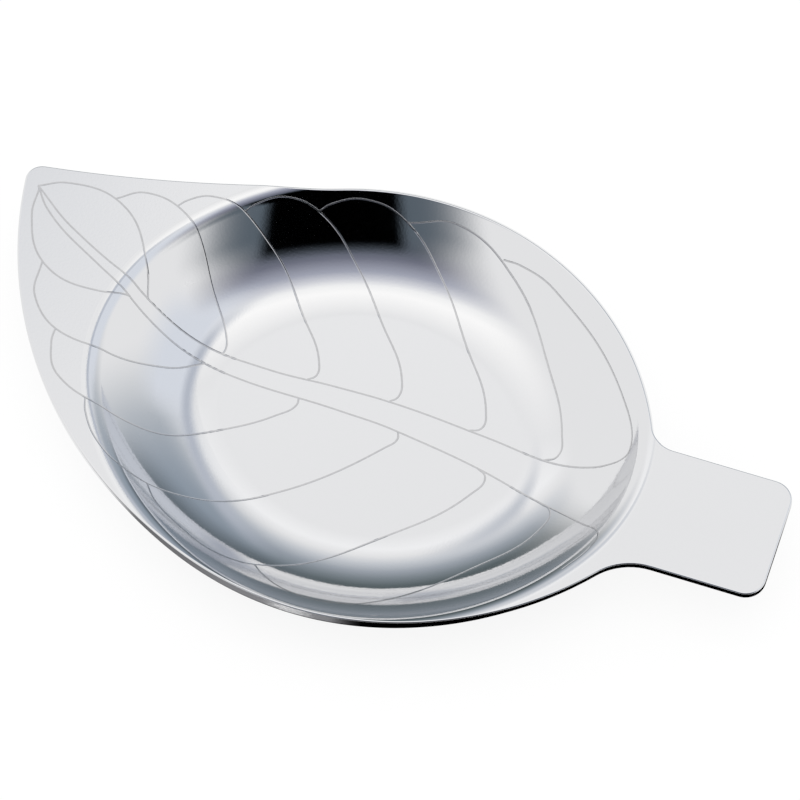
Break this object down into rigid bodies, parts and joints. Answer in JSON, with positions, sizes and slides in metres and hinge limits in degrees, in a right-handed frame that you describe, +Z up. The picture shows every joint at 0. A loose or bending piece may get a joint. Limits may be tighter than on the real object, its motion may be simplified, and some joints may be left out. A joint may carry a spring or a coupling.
{
  "type": "tea bag rest",
  "caption": "Leaf-shaped tea bag rest: a shallow oval bowl with a pointed leaf tip and a flat stem handle, pressed in one piece from polished stainless sheet.",
  "frame": {"origin": "on the axis of the oval bowl, at the underside of its flat floor, where the dish stands on the table", "axes": "+X along the stem handle, away from the bowl; +Z up, out of the bowl; +Y to the side that the leaf's tip leans to"},
  "size_m": [0.1198, 0.0686, 0.0102],
  "materials": {
    "polished_steel": "polished"
  },
  "bodies": {
    "root": {"leaf_dish": "polished_steel"}
  },
  "joints": []
}
